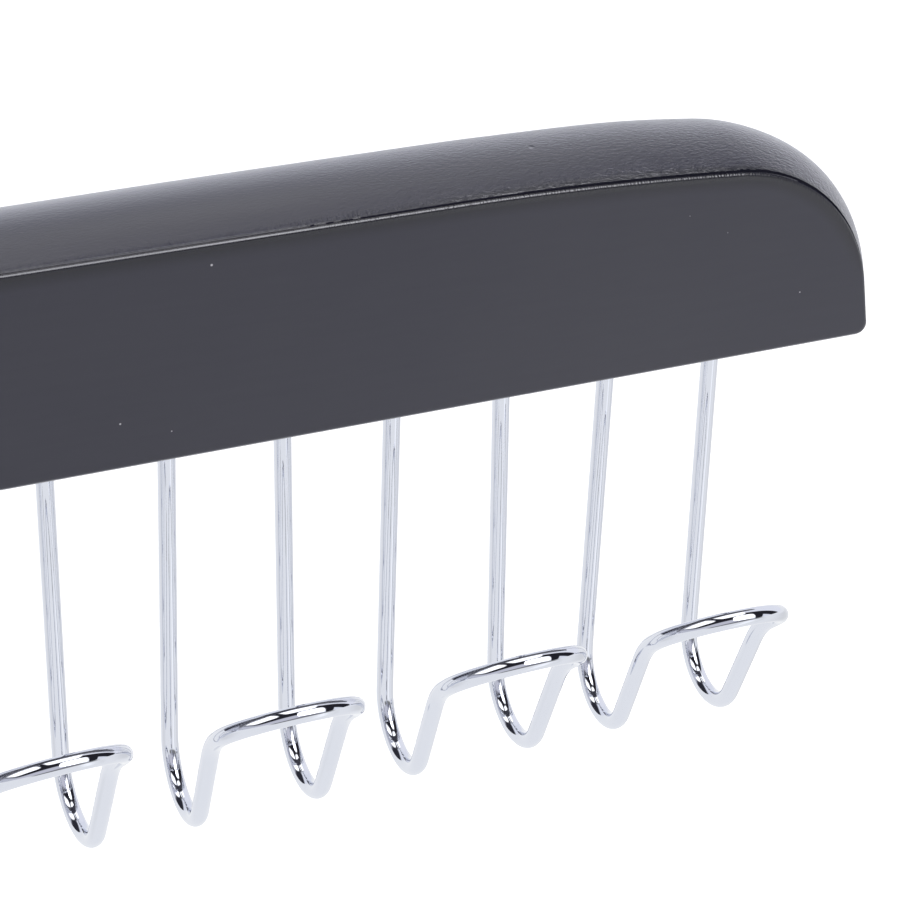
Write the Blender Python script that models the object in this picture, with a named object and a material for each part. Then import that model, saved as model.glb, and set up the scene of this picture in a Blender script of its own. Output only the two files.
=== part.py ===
"""Belt hanger: a lacquered wooden bar under a swivelling rod hook, with bent wire belt hooks below it."""

import math

import bmesh
import bpy
from mathutils import Matrix, Vector

# Lengths are in metres and angles in degrees. The bar runs along X with its front towards -Y,
# and the origin is where the wardrobe rod bears on the inside of the swivel hook.

# Bar outline, seen from the front
FACE_LENGTH = 0.428
FACE_HEIGHT = 0.0368
CREST_RADIUS = 0.600
CREST_DROOP = 4.9
SHOULDER_RADIUS = 0.029
END_SLOPE = 80.8
FOOT_RADIUS = 0.0018

# Bar section, seen from the end
BAR_THICKNESS = 0.023
CROWN_RISE = 0.0035
EDGE_ROUNDING = 0.0005
EDGE_GROOVE_WIDTH = 0.00015
EDGE_GROOVE_DEPTH = 0.0002

# Belt hooks: one hairpin of round wire each, bent into a J
BELT_HOOK_COUNT = 10
BELT_HOOK_PITCH = 0.0399
WIRE_DIAMETER = 0.003
LEG_SPACING = 0.0199
LEG_EMBEDDED = 0.018
HOOK_DROP = 0.0709
TROUGH_RADIUS = 0.0091
RISER_TILT = 22.1
RISER_LENGTH = 0.0165
LIP_RADIUS = 0.0186
LIP_TILT = 47.8
LIP_LENGTH = 0.0131
LOOP_CORNER_RADIUS = 0.0109

# The hooks are bent and set by hand, so each differs a little, from left to right: its legs splay,
# it is turned, its foot leans to the right, and it sits aside and higher by a share of the wire
BELT_HOOK_SPLAYS = (0.75, 0.7, 0.8, 0.75, 0.7, 0.8, 0.75, 0.75, 0.75, 0.56)
BELT_HOOK_TURNS = (1.2, -0.9, 1.6, -1.4, 0.8, -0.6, 2.8, 0.0, -0.1, -2.0)
BELT_HOOK_LEANS = (0.2, -0.3, 0.1, 0.3, -0.2, 0.2, -0.59, -0.17, 0.34, -0.17)
BELT_HOOK_SHIFT_SHARES = (0.04, -0.05, 0.02, 0.05, -0.03, 0.0, -0.09, 0.05, -0.07, -0.03)
BELT_HOOK_LIFT_SHARES = (-0.03, 0.06, 0.1, -0.05, 0.08, 0.02, 0.15, 0.03, 0.11, -0.06)
LEG_HOLE_CLEARANCE = 0.00015
LEG_HOLE_SPARE_DEPTH = 0.0003

# Swivel hook: the rod lies inside its large arc
ROD_SPACE_RADIUS = 0.021
SWIVEL_WIRE_DIAMETER = 0.004
NECK_RADIUS = 0.012
WRAP_END = 198.0
TIP_RADIUS = 0.012
TIP_FLARE = 50.0
TIP_ROUNDING = 0.0012
SHANK_LENGTH = 0.017
BEAD_DIAMETER = 0.0064
BEAD_HEIGHT = 0.0016
BEAD_EDGE = 0.0003

# Hardware on the shank
COLLAR_DIAMETER = 0.014
COLLAR_NECK_DIAMETER = 0.0072
COLLAR_HEIGHT = 0.0042
COLLAR_RIM = 0.0008
SPOT_FACE_DEPTH = 0.0014
BUSH_DIAMETER = 0.0068
BUSH_FLANGE_DIAMETER = 0.0104
BUSH_FLANGE_THICKNESS = 0.001
WASHER_DIAMETER = 0.009
WASHER_THICKNESS = 0.0008
NUT_ACROSS_FLATS = 0.007
NUT_HEIGHT = 0.0032
THREAD_PROUD = 0.0015
COUNTERBORE_DIAMETER = 0.0116
COUNTERBORE_DEPTH = 0.0095

# Fits
SEAT_GAP = 0.0003
RUNNING_CLEARANCE = 0.00015
PRESS_CLEARANCE = 0.0002
CUT_OVERRUN = 0.002

# Smoothness of the facets
CROWN_STEPS = 12
CREST_STEPS = 3
SHOULDER_STEPS = 14
FOOT_STEPS = 4
EDGE_STEPS = 2
TROUGH_STEPS = 9
LIP_STEPS = 3
CORNER_STEPS = 5
NECK_STEPS = 6
WRAP_STEPS = 24
TIP_STEPS = 5
WIRE_BEVEL_RESOLUTION = 3
SWIVEL_BEVEL_RESOLUTION = 4
TURNED_SIDES = 24
LEG_HOLE_SIDES = 14

# Heights that follow from the sizes above
WIRE_RADIUS = WIRE_DIAMETER / 2
SWIVEL_RADIUS = SWIVEL_WIRE_DIAMETER / 2
WRAP_RADIUS = ROD_SPACE_RADIUS + SWIVEL_RADIUS
WRAP_CENTRE_Z = -ROD_SPACE_RADIUS
NECK_START_Z = WRAP_CENTRE_Z - math.sqrt((WRAP_RADIUS + NECK_RADIUS) ** 2 - NECK_RADIUS ** 2)
BAR_TOP_Z = NECK_START_Z - SHANK_LENGTH
UNDERSIDE_Z = BAR_TOP_Z - CROWN_RISE - FACE_HEIGHT
SPOT_FACE_Z = BAR_TOP_Z - SPOT_FACE_DEPTH
COLLAR_TOP_Z = SPOT_FACE_Z + SEAT_GAP + COLLAR_HEIGHT
COUNTERBORE_ROOF_Z = UNDERSIDE_Z + COUNTERBORE_DEPTH
BUSH_FLANGE_TOP_Z = COUNTERBORE_ROOF_Z - SEAT_GAP
BUSH_BOTTOM_Z = BUSH_FLANGE_TOP_Z - BUSH_FLANGE_THICKNESS
WASHER_TOP_Z = BUSH_BOTTOM_Z - SEAT_GAP
WASHER_BOTTOM_Z = WASHER_TOP_Z - WASHER_THICKNESS
NUT_TOP_Z = WASHER_BOTTOM_Z - SEAT_GAP
NUT_BOTTOM_Z = NUT_TOP_Z - NUT_HEIGHT
SHANK_END_Z = NUT_BOTTOM_Z - THREAD_PROUD
SHANK_BORE_RADIUS = SWIVEL_RADIUS + RUNNING_CLEARANCE


def clear_scene():
    for item in list(bpy.data.objects):
        bpy.data.objects.remove(item, do_unlink=True)


def make_material(name, colour, roughness, metallic):
    material = bpy.data.materials.new(name)
    material.use_nodes = True
    shader = material.node_tree.nodes["Principled BSDF"]
    shader.inputs["Base Color"].default_value = (*colour, 1.0)
    shader.inputs["Roughness"].default_value = roughness
    shader.inputs["Metallic"].default_value = metallic
    return material


def link(item):
    bpy.context.scene.collection.objects.link(item)
    return item


def object_from_bmesh(name, shape, material, smooth_angle=None):
    mesh = bpy.data.meshes.new(name)
    bmesh.ops.recalc_face_normals(shape, faces=shape.faces)
    shape.to_mesh(mesh)
    shape.free()
    if material is not None:
        mesh.materials.append(material)
    if smooth_angle is not None:
        mesh.shade_smooth()
        mesh.set_sharp_from_angle(angle=math.radians(smooth_angle))
    return link(bpy.data.objects.new(name, mesh))


def hide_cutter(cutter):
    cutter.hide_render = True
    cutter.display_type = "WIRE"


def cut(body, cutter):
    hide_cutter(cutter)
    modifier = body.modifiers.new(cutter.name, "BOOLEAN")
    modifier.operation = "DIFFERENCE"
    modifier.solver = "EXACT"
    modifier.object = cutter


# Bar


def turned_points(centre, radius, start, stop, steps):
    """Points of an arc whose tangent falls from the start angle to the stop angle below the horizontal."""
    angles = [start + (stop - start) * step / steps for step in range(steps + 1)]
    return [(centre[0] + radius * math.sin(a), centre[1] + radius * math.cos(a)) for a in angles]


def shoulder_centre(flat_run):
    droop = math.radians(CREST_DROOP)
    reach = CREST_RADIUS - SHOULDER_RADIUS
    return flat_run + reach * math.sin(droop), FACE_HEIGHT - CREST_RADIUS + reach * math.cos(droop)


def foot_centre(flat_run, rise, base):
    """Centre of the small lower corner, tangent to the sloping end and to the underside."""
    slope = math.radians(END_SLOPE)
    shoulder_x, shoulder_z = shoulder_centre(flat_run)
    height = base + FOOT_RADIUS
    end_distance = SHOULDER_RADIUS + rise - FOOT_RADIUS
    distance = shoulder_x * math.sin(slope) + shoulder_z * math.cos(slope) + end_distance
    return (distance - height * math.cos(slope)) / math.sin(slope), height


def half_outline(rise, base):
    """Right half of the outline, from the straight top to the underside, swollen outwards by rise."""
    droop = math.radians(CREST_DROOP)
    slope = math.radians(END_SLOPE)
    flat_run = FACE_LENGTH / 2 - FOOT_RADIUS - foot_centre(0.0, 0.0, 0.0)[0]
    crest_centre = (flat_run, FACE_HEIGHT - CREST_RADIUS)
    crest = turned_points(crest_centre, CREST_RADIUS + rise, 0.0, droop, CREST_STEPS)
    shoulder = turned_points(shoulder_centre(flat_run), SHOULDER_RADIUS + rise, droop, slope, SHOULDER_STEPS)
    foot = turned_points(foot_centre(flat_run, rise, base), FOOT_RADIUS, slope, math.pi, FOOT_STEPS)
    return crest + shoulder[1:] + foot


def bar_ring(shape, depth, rise, base):
    """One closed ring of the bar at a given depth, from the lower left corner over the top."""
    right = half_outline(rise, base)
    left = [(-x, z) for x, z in reversed(right)]
    return [shape.verts.new((x, depth, UNDERSIDE_Z + z)) for x, z in left + right]


def front_stations():
    """Depth, swell and lift of the rings from the front face over its rounded edge into the groove."""
    front = -BAR_THICKNESS / 2
    stations = []
    for step in range(EDGE_STEPS + 1):
        angle = math.pi / 2 * step / EDGE_STEPS
        inset = EDGE_ROUNDING * (1 - math.sin(angle))
        stations.append((front + EDGE_ROUNDING * (1 - math.cos(angle)), -inset, inset))
    stations.append((front + EDGE_ROUNDING + EDGE_GROOVE_WIDTH, -EDGE_GROOVE_DEPTH, 0.0))
    return stations


def crown_stations():
    """Rings of the crown, an arc across the whole thickness that drops into a groove short of each face."""
    half_thickness = BAR_THICKNESS / 2
    radius = (half_thickness ** 2 + CROWN_RISE ** 2) / (2 * CROWN_RISE)
    half_angle = math.asin((half_thickness - EDGE_ROUNDING - EDGE_GROOVE_WIDTH) / radius)
    stations = []
    for step in range(CROWN_STEPS + 1):
        angle = half_angle * (2 * step / CROWN_STEPS - 1)
        stations.append((radius * math.sin(angle), CROWN_RISE - radius * (1 - math.cos(angle)), 0.0))
    return stations


def bar_blank():
    """Loft of the outline through the section, closed by the two flat faces."""
    shape = bmesh.new()
    front = front_stations()
    back = [(-depth, rise, base) for depth, rise, base in reversed(front)]
    rings = [bar_ring(shape, *station) for station in front + crown_stations() + back]
    underside = []
    for near, far in zip(rings, rings[1:]):
        count = len(near)
        for index in range(count):
            after = (index + 1) % count
            face = shape.faces.new((near[index], near[after], far[after], far[index]))
            if after == 0:
                underside.append(face)
    shape.faces.new(rings[0])
    shape.faces.new(rings[-1])
    flat = underside[EDGE_STEPS:-EDGE_STEPS]
    bmesh.ops.dissolve_faces(shape, faces=flat)
    return shape


def own_value(table, index):
    """A belt hook's own value from one of the tables, which start again after their last value."""
    return table[index % len(table)]


def belt_hook_placements():
    """Where every belt hook leaves the underside, from left to right, with its own place, turn and lean."""
    first = -BELT_HOOK_PITCH * (BELT_HOOK_COUNT - 1) / 2
    placements = []
    for index in range(BELT_HOOK_COUNT):
        turn = math.radians(own_value(BELT_HOOK_TURNS, index))
        lean = math.radians(own_value(BELT_HOOK_LEANS, index))
        aside = first + BELT_HOOK_PITCH * index + WIRE_DIAMETER * own_value(BELT_HOOK_SHIFT_SHARES, index)
        height = UNDERSIDE_Z + WIRE_DIAMETER * own_value(BELT_HOOK_LIFT_SHARES, index)
        place = Matrix.Translation((aside, 0.0, height))
        placements.append(place @ Matrix.Rotation(turn, 4, "Z") @ Matrix.Rotation(-lean, 4, "Y"))
    return placements


def leg_hole_cutter():
    shape = bmesh.new()
    depth = LEG_EMBEDDED + LEG_HOLE_SPARE_DEPTH
    radius = WIRE_RADIUS + LEG_HOLE_CLEARANCE
    middle = (depth - CUT_OVERRUN) / 2
    for placement in belt_hook_placements():
        for side in (-1, 1):
            bmesh.ops.create_cone(
                shape,
                cap_ends=True,
                segments=LEG_HOLE_SIDES,
                radius1=radius,
                radius2=radius,
                depth=depth + CUT_OVERRUN,
                matrix=placement @ Matrix.Translation((side * LEG_SPACING / 2, 0.0, middle)),
            )
    return object_from_bmesh("leg_holes", shape, None)


def swivel_bore_cutter():
    """Spot face for the collar, bore for the bush and counterbore for the nut, as one turned cutter."""
    spot_radius = COLLAR_DIAMETER / 2 + SEAT_GAP
    bore_radius = BUSH_DIAMETER / 2 + PRESS_CLEARANCE
    counterbore_radius = COUNTERBORE_DIAMETER / 2
    profile = [
        (0.0, BAR_TOP_Z + CUT_OVERRUN),
        (spot_radius, BAR_TOP_Z + CUT_OVERRUN),
        (spot_radius, SPOT_FACE_Z),
        (bore_radius, SPOT_FACE_Z),
        (bore_radius, COUNTERBORE_ROOF_Z),
        (counterbore_radius, COUNTERBORE_ROOF_Z),
        (counterbore_radius, UNDERSIDE_Z - CUT_OVERRUN),
        (0.0, UNDERSIDE_Z - CUT_OVERRUN),
    ]
    return turned_solid("swivel_bore", profile, None)


def make_bar(material):
    bar = object_from_bmesh("bar", bar_blank(), material, smooth_angle=30)
    cut(bar, leg_hole_cutter())
    cut(bar, swivel_bore_cutter())
    return bar


# Turned hardware


def turned_solid(name, profile, material):
    """Revolve a profile of radius and height; it may start and end on the axis or close into a ring."""
    shape = bmesh.new()
    on_axis = profile[0][0] == 0.0
    rim = profile[1:-1] if on_axis else profile
    columns = []
    for side in range(TURNED_SIDES):
        angle = 2 * math.pi * side / TURNED_SIDES
        columns.append([shape.verts.new((r * math.cos(angle), r * math.sin(angle), z)) for r, z in rim])
    for near, far in zip(columns, columns[1:] + columns[:1]):
        for index in range(len(rim) - 1):
            shape.faces.new((near[index], far[index], far[index + 1], near[index + 1]))
        if not on_axis:
            shape.faces.new((near[-1], far[-1], far[0], near[0]))
    if on_axis:
        shape.faces.new([column[0] for column in columns])
        shape.faces.new([column[-1] for column in columns])
    return object_from_bmesh(name, shape, material, smooth_angle=35)


def make_collar(material):
    """Ferrule on the crest: a thin rim that sweeps up into a short neck round the shank."""
    rim_radius = COLLAR_DIAMETER / 2
    neck_radius = COLLAR_NECK_DIAMETER / 2
    seat = SPOT_FACE_Z + SEAT_GAP
    sweep_start = seat + COLLAR_RIM
    sweep_height = COLLAR_HEIGHT - COLLAR_RIM
    profile = [(SHANK_BORE_RADIUS, seat), (rim_radius, seat)]
    for step in range(LIP_STEPS + 1):
        angle = math.pi / 2 * step / LIP_STEPS
        radius = rim_radius - (rim_radius - neck_radius) * math.sin(angle)
        profile.append((radius, sweep_start + sweep_height * (1 - math.cos(angle))))
    profile.append((SHANK_BORE_RADIUS, COLLAR_TOP_Z))
    return turned_solid("collar", profile, material)


def make_bush(material):
    tube_radius = BUSH_DIAMETER / 2
    flange_radius = BUSH_FLANGE_DIAMETER / 2
    profile = [
        (SHANK_BORE_RADIUS, SPOT_FACE_Z),
        (tube_radius, SPOT_FACE_Z),
        (tube_radius, BUSH_FLANGE_TOP_Z),
        (flange_radius, BUSH_FLANGE_TOP_Z),
        (flange_radius, BUSH_BOTTOM_Z),
        (SHANK_BORE_RADIUS, BUSH_BOTTOM_Z),
    ]
    return turned_solid("bush", profile, material)


def make_washer(material):
    profile = [
        (SHANK_BORE_RADIUS, WASHER_TOP_Z),
        (WASHER_DIAMETER / 2, WASHER_TOP_Z),
        (WASHER_DIAMETER / 2, WASHER_BOTTOM_Z),
        (SHANK_BORE_RADIUS, WASHER_BOTTOM_Z),
    ]
    return turned_solid("washer", profile, material)


def make_lock_nut(material):
    """Hexagon nut with a plain bore that the shank's end passes through."""
    shape = bmesh.new()
    corner_radius = NUT_ACROSS_FLATS / 2 / math.cos(math.pi / 6)
    bmesh.ops.create_cone(
        shape,
        cap_ends=True,
        segments=6,
        radius1=corner_radius,
        radius2=corner_radius,
        depth=NUT_HEIGHT,
        matrix=Matrix.Translation((0.0, 0.0, (NUT_TOP_Z + NUT_BOTTOM_Z) / 2)),
    )
    nut = object_from_bmesh("lock_nut", shape, material)
    bore = [
        (0.0, NUT_TOP_Z + CUT_OVERRUN),
        (SHANK_BORE_RADIUS, NUT_TOP_Z + CUT_OVERRUN),
        (SHANK_BORE_RADIUS, NUT_BOTTOM_Z - CUT_OVERRUN),
        (0.0, NUT_BOTTOM_Z - CUT_OVERRUN),
    ]
    cut(nut, turned_solid("nut_bore", bore, None))
    return nut


# Bent wire


def wire_curve(name, route, radius, bevel_resolution, material, swell=None):
    """Round wire along a route of points, closed at both ends; swell scales its radius at each point."""
    curve = bpy.data.curves.new(name, "CURVE")
    curve.dimensions = "3D"
    curve.bevel_depth = radius
    curve.bevel_resolution = bevel_resolution
    curve.use_fill_caps = True
    spline = curve.splines.new("POLY")
    spline.points.add(len(route) - 1)
    spline.use_smooth = True
    for index, place in enumerate(route):
        spline.points[index].co = (*place, 1.0)
        spline.points[index].radius = swell[index] if swell else 1.0
    curve.materials.append(material)
    return curve


def leg_side_view():
    """Forward reach and height of one half of the hairpin, from inside the bar to the front of the loop."""
    riser_tilt = math.radians(RISER_TILT)
    lip_tilt = math.radians(LIP_TILT)
    trough_z = TROUGH_RADIUS - HOOK_DROP
    points = [(0.0, LEG_EMBEDDED), (0.0, 0.0)]
    sweep = math.pi - riser_tilt
    for step in range(TROUGH_STEPS + 1):
        angle = math.pi + sweep * step / TROUGH_STEPS
        points.append((TROUGH_RADIUS * (1 + math.cos(angle)), trough_z + TROUGH_RADIUS * math.sin(angle)))
    forward, height = points[-1]
    forward += RISER_LENGTH * math.sin(riser_tilt)
    height += RISER_LENGTH * math.cos(riser_tilt)
    for step in range(LIP_STEPS + 1):
        tilt = riser_tilt + (lip_tilt - riser_tilt) * step / LIP_STEPS
        reach = LIP_RADIUS * (math.cos(riser_tilt) - math.cos(tilt))
        climb = LIP_RADIUS * (math.sin(tilt) - math.sin(riser_tilt))
        points.append((forward + reach, height + climb))
    forward, height = points[-1]
    points.append((forward + LIP_LENGTH * math.sin(lip_tilt), height + LIP_LENGTH * math.cos(lip_tilt)))
    return points


def leg_route(side, splay):
    """One leg in space: it splays outwards by a small angle from where it leaves the bar."""
    slope = math.tan(math.radians(splay))
    route = []
    run = 0.0
    last = None
    for forward, height in leg_side_view():
        if last is not None and last[1] <= 0.0:
            run += math.hypot(forward - last[0], height - last[1])
        route.append(Vector((side * (LEG_SPACING / 2 + slope * run), -forward, height)))
        last = (forward, height)
    return route


def rounded_corner(before, corner, after, radius, steps):
    """Points of an arc that rounds the corner between two straight runs."""
    inward = (before - corner).normalized()
    outward = (after - corner).normalized()
    half_angle = inward.angle(outward) / 2
    centre = corner + (inward + outward).normalized() * (radius / math.sin(half_angle))
    start = corner + inward * (radius / math.tan(half_angle)) - centre
    stop = corner + outward * (radius / math.tan(half_angle)) - centre
    return [centre + radius * start.slerp(stop, step / steps) for step in range(steps + 1)]


def belt_hook_route(splay):
    left = leg_route(-1, splay)
    right = leg_route(1, splay)
    first_corner = rounded_corner(left[-2], left[-1], right[-1], LOOP_CORNER_RADIUS, CORNER_STEPS)
    second_corner = rounded_corner(left[-1], right[-1], right[-2], LOOP_CORNER_RADIUS, CORNER_STEPS)
    return left[:-1] + first_corner + second_corner + right[-2::-1]


def make_belt_hooks(material):
    for index, placement in enumerate(belt_hook_placements()):
        name = f"belt_hook_{index + 1}"
        route = belt_hook_route(own_value(BELT_HOOK_SPLAYS, index))
        curve = wire_curve(name, route, WIRE_RADIUS, WIRE_BEVEL_RESOLUTION, material)
        hook = link(bpy.data.objects.new(name, curve))
        hook.matrix_world = placement


def shank_stations():
    """Height and swell of the straight shank, from its threaded end past the bead to the neck."""
    bead_swell = BEAD_DIAMETER / SWIVEL_WIRE_DIAMETER
    bead_bottom = COLLAR_TOP_Z + SEAT_GAP
    bead_top = bead_bottom + BEAD_HEIGHT
    return [
        (SHANK_END_Z, 1.0),
        (bead_bottom, 1.0),
        (bead_bottom + BEAD_EDGE, bead_swell),
        (bead_top - BEAD_EDGE, bead_swell),
        (bead_top, 1.0),
        (NECK_START_Z, 1.0),
    ]


def swivel_hook_route():
    """Shank, reversed neck, large arc round the rod and a flared tip, with the wire's swell."""
    stations = shank_stations()
    route = [Vector((0.0, 0.0, z)) for z, _ in stations]
    swell = [scale for _, scale in stations]
    neck_stop = math.atan2(WRAP_CENTRE_Z - NECK_START_Z, -NECK_RADIUS)
    for step in range(1, NECK_STEPS + 1):
        angle = math.pi + (neck_stop - math.pi) * step / NECK_STEPS
        reach = NECK_RADIUS * (1 + math.cos(angle))
        route.append(Vector((reach, 0.0, NECK_START_Z + NECK_RADIUS * math.sin(angle))))
    wrap_start = neck_stop - math.pi
    wrap_stop = math.radians(WRAP_END)
    for step in range(1, WRAP_STEPS + 1):
        angle = wrap_start + (wrap_stop - wrap_start) * step / WRAP_STEPS
        height = WRAP_CENTRE_Z + WRAP_RADIUS * math.sin(angle)
        route.append(Vector((WRAP_RADIUS * math.cos(angle), 0.0, height)))
    outward = Vector((math.cos(wrap_stop), 0.0, math.sin(wrap_stop)))
    tip_centre = route[-1] + outward * TIP_RADIUS
    for step in range(1, TIP_STEPS + 1):
        angle = wrap_stop - math.radians(TIP_FLARE) * step / TIP_STEPS
        route.append(tip_centre - TIP_RADIUS * Vector((math.cos(angle), 0.0, math.sin(angle))))
    swell += [1.0] * (len(route) - len(swell))
    round_tip(route, swell)
    return route, swell


def round_tip(route, swell):
    """Carry the wire on past its last point with a shrinking radius, so that its end is rounded."""
    heading = (route[-1] - route[-2]).normalized()
    end = route[-1]
    for step in range(1, EDGE_STEPS + 2):
        angle = math.pi / 2 * step / (EDGE_STEPS + 2)
        route.append(end + heading * (TIP_ROUNDING * math.sin(angle)))
        swell.append(1 - (1 - math.cos(angle)) * TIP_ROUNDING / SWIVEL_RADIUS)


def make_swivel_hook(material):
    route, swell = swivel_hook_route()
    curve = wire_curve("swivel_hook", route, SWIVEL_RADIUS, SWIVEL_BEVEL_RESOLUTION, material, swell)
    return link(bpy.data.objects.new("swivel_hook", curve))


def main():
    clear_scene()
    lacquer = make_material("black satin lacquer on wood", (0.018, 0.018, 0.021), 0.42, 0.0)
    chrome = make_material("bright chrome plating", (0.84, 0.85, 0.88), 0.07, 1.0)
    zinc = make_material("zinc plated steel", (0.56, 0.57, 0.58), 0.35, 1.0)
    make_bar(lacquer)
    make_belt_hooks(chrome)
    make_swivel_hook(chrome)
    make_collar(chrome)
    make_bush(zinc)
    make_washer(zinc)
    make_lock_nut(zinc)


main()
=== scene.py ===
"""Looks of the belt hanger: smooth wire, a lacquered bar with its groove, and a white studio."""

import math

import bmesh
import bpy
import numpy as np
from mathutils import Matrix, Vector, noise


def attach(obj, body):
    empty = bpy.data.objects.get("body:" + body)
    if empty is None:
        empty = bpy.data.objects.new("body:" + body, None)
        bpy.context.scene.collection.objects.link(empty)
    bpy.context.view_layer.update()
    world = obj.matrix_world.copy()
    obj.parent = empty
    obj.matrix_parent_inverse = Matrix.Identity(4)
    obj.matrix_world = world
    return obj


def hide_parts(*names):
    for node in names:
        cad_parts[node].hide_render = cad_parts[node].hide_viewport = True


# Lengths are in metres and angles in degrees, in the frame of the solids.

# Bar
FACE_LENGTH = 0.428
FACE_HEIGHT = 0.0368
CREST_RADIUS = 0.600
CREST_DROOP = 4.9
SHOULDER_RADIUS = 0.029
END_SLOPE = 80.8
FOOT_RADIUS = 0.0018
BAR_THICKNESS = 0.023
CROWN_RISE = 0.0035
EDGE_ROUNDING = 0.0007
EDGE_TURN = 62.0
ROLL_WIDTH = 0.0032
ROLL_DEPTH = 0.00013
GROOVE_WIDTH = 0.00058
GROOVE_DEPTH = 0.0006
CROWN_LIP_RISE = 0.00005
# How much of the crown's section is half an ellipse; the rest is a parabola
CROWN_FRONT_SHARE = 0.10
CROWN_BACK_SHARE = 0.55
# The crown sinks beside its middle and swells towards the ends, each over a stretch along the bar.
# Before each shoulder it has a bulge and then a hollow.
CROWN_SINK = 0.00022
CROWN_SINK_STRETCH = (0.02, 0.035)
CROWN_SWELL = 0.00025
CROWN_SWELL_STRETCH = (0.05, 0.10)
CROWN_BULGE = 0.0003
CROWN_BULGE_PLACE = 0.170
CROWN_HOLLOW = 0.00062
CROWN_HOLLOW_PLACE = 0.1965
CROWN_WAVE = 0.012
# Heights between which the roll and the swell fade in over the ends, as shares of the face's height
END_CALM_SHARES = (0.15, 0.6)
# Stretch along the bar over which the painted shade, a darker lacquer colour, begins on the crown
# beside the groove, then the width of that painted shade across the crown
PAINTED_SHADE_STRETCH = (0.09, 0.16)
PAINTED_SHADE_WIDTH = 0.0016
# Section of the groove: share of its width, share of its depth, and part in the ragged lip
GROOVE_SECTION_SHARES = ((0.08, 0.8, 0.0), (0.5, 1.0, 0.4), (0.75, 0.4, 1.0), (0.88, 0.0, 1.0))
# The crown's lip stands into the groove: near the middle of the bar by a fixed amount, all along by
# two sizes of noise. These are shares of the wander.
GROOVE_WANDER = 0.0003
LIP_NARROW_STRETCH = (0.08, 0.18)
LIP_NARROW_SHARE = 1.4
LIP_RAGGED_SHARE = 0.25
LIP_FINE_SHARE = 0.2
WANDER_PITCH = 0.0011
FINE_PITCH = WANDER_PITCH / 2.3
# Where the painted shade begins, lacquer without gloss that renders dark, and how ragged that start
# is: in the groove, on the edge below it and on the crown's lip, ring by ring
GROOVE_SHADE_PLACE = 0.113
GROOVE_SHADE_RAGGED = 0.035
EDGE_SHADE_PLACE = 0.1965
EDGE_SHADE_RAGGED = 0.006
LIP_SHADE_PLACE = 0.184
LIP_SHADE_STEP = 0.004
LIP_SHADE_RINGS = 2

# Belt hooks
BELT_HOOK_COUNT = 10
BELT_HOOK_PITCH = 0.0399
WIRE_RADIUS = 0.0015
LEG_SPACING = 0.0199
LEG_EMBEDDED = 0.018
HOOK_DROP = 0.0709
TROUGH_RADIUS = 0.0091
RISER_TILT = 22.1
RISER_LENGTH = 0.0165
LIP_RADIUS = 0.0186
LIP_TILT = 47.8
LIP_LENGTH = 0.0131
LOOP_CORNER_RADIUS = 0.0109
# Each belt hook's own bend and seat, from left to right; the shares are of the wire's diameter
BELT_HOOK_SPLAYS = (0.75, 0.7, 0.8, 0.75, 0.7, 0.8, 0.75, 0.75, 0.75, 0.56)
BELT_HOOK_TURNS = (1.2, -0.9, 1.6, -1.4, 0.8, -0.6, 2.8, 0.0, -0.1, -2.0)
BELT_HOOK_LEANS = (0.2, -0.3, 0.1, 0.3, -0.2, 0.2, -0.59, -0.17, 0.34, -0.17)
BELT_HOOK_SHIFT_SHARES = (0.04, -0.05, 0.02, 0.05, -0.03, 0.0, -0.09, 0.05, -0.07, -0.03)
BELT_HOOK_LIFT_SHARES = (-0.03, 0.06, 0.1, -0.05, 0.08, 0.02, 0.15, 0.03, 0.11, -0.06)
LEG_HOLE_RADIUS = 0.00165
LEG_HOLE_DEPTH = 0.0183

# Swivel hook and its hardware
ROD_SPACE_RADIUS = 0.021
SWIVEL_RADIUS = 0.002
NECK_RADIUS = 0.012
WRAP_END = 198.0
TIP_RADIUS = 0.012
TIP_FLARE = 50.0
TIP_ROUNDING = 0.0012
SHANK_LENGTH = 0.017
BEAD_RADIUS = 0.0032
BEAD_HEIGHT = 0.0016
BEAD_EDGE = 0.0003
COLLAR_RADIUS = 0.007
COLLAR_HEIGHT = 0.0042
SPOT_FACE_DEPTH = 0.0014
BUSH_RADIUS = 0.0034
BUSH_FLANGE_THICKNESS = 0.001
WASHER_THICKNESS = 0.0008
NUT_HEIGHT = 0.0032
THREAD_PROUD = 0.0015
COUNTERBORE_RADIUS = 0.0058
COUNTERBORE_DEPTH = 0.0095
BORE_CLEARANCE = 0.0002
SEAT_GAP = 0.0003
CUT_OVERRUN = 0.002

# Sizes and heights that follow from those above
WRAP_RADIUS = ROD_SPACE_RADIUS + SWIVEL_RADIUS
WRAP_CENTRE_Z = -ROD_SPACE_RADIUS
NECK_START_Z = WRAP_CENTRE_Z - math.sqrt((WRAP_RADIUS + NECK_RADIUS) ** 2 - NECK_RADIUS ** 2)
BAR_TOP_Z = NECK_START_Z - SHANK_LENGTH
UNDERSIDE_Z = BAR_TOP_Z - CROWN_RISE - FACE_HEIGHT
SPOT_FACE_Z = BAR_TOP_Z - SPOT_FACE_DEPTH
COLLAR_TOP_Z = SPOT_FACE_Z + SEAT_GAP + COLLAR_HEIGHT
COUNTERBORE_ROOF_Z = UNDERSIDE_Z + COUNTERBORE_DEPTH
BUSH_FLANGE_TOP_Z = COUNTERBORE_ROOF_Z - SEAT_GAP
BUSH_BOTTOM_Z = BUSH_FLANGE_TOP_Z - BUSH_FLANGE_THICKNESS
WASHER_TOP_Z = BUSH_BOTTOM_Z - SEAT_GAP
WASHER_BOTTOM_Z = WASHER_TOP_Z - WASHER_THICKNESS
NUT_TOP_Z = WASHER_BOTTOM_Z - SEAT_GAP
NUT_BOTTOM_Z = NUT_TOP_Z - NUT_HEIGHT
SHANK_END_Z = NUT_BOTTOM_Z - THREAD_PROUD

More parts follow.
